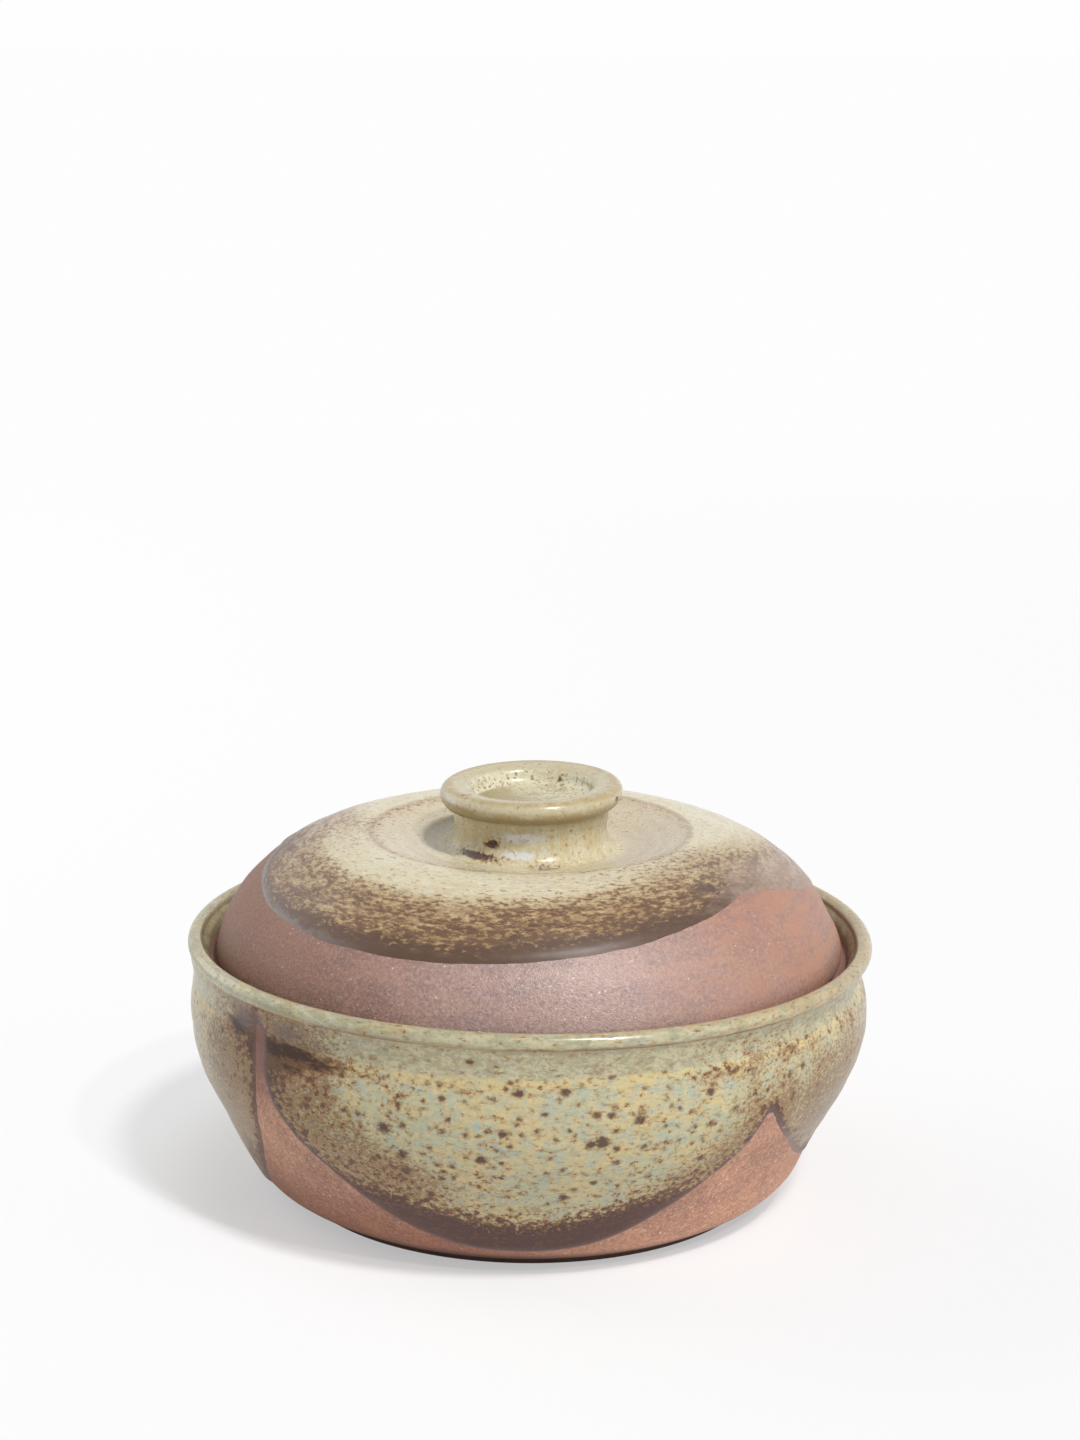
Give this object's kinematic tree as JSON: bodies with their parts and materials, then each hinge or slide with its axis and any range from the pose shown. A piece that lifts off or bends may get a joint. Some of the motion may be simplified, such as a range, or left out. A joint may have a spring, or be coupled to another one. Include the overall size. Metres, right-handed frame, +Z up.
{
  "type": "lidded bowl",
  "caption": "Round stoneware serving bowl with a gallery rim and an inset domed lid that lifts off by a cupped ring knob; dipped glaze leaves bare clay at the foot and lid edge.",
  "frame": {"origin": "centre of the foot, on the surface the bowl stands on", "axes": "+Z up along the turning axis, -Y towards the viewer of the picture, +X to the viewer's right"},
  "size_m": [0.2, 0.2, 0.1211],
  "materials": {
    "bowl_clay": "toasted matt stoneware, sandy",
    "bowl_outside_glaze": "mottled pale ash glaze with iron spots, dark where thin",
    "bowl_rim_glaze": "smooth grey-green glaze with ochre streaks",
    "bowl_inside_glaze": "smooth pale glaze",
    "lid_clay": "purple-brown matt stoneware with throwing lines",
    "lid_outside_glaze": "glossy cream glaze, speckled and dark towards its edge",
    "lid_inside_glaze": "smooth pale glaze",
    "knob_clay": "matt stoneware, wholly under glaze"
  },
  "bodies": {
    "bowl": {"bowl": "bowl_clay", "bowl_outside_glaze": "bowl_outside_glaze", "bowl_rim_glaze": "bowl_rim_glaze", "bowl_inside_glaze": "bowl_inside_glaze"},
    "lid": {"lid": "lid_clay", "knob": "knob_clay", "lid_outside_glaze": "lid_outside_glaze", "lid_inside_glaze": "lid_inside_glaze"}
  },
  "joints": [
    {"name": "lid_lift", "type": "slide", "parent": "bowl", "child": "lid", "axis": [0, 0, 1], "range_m": [0, 0.12]}
  ]
}
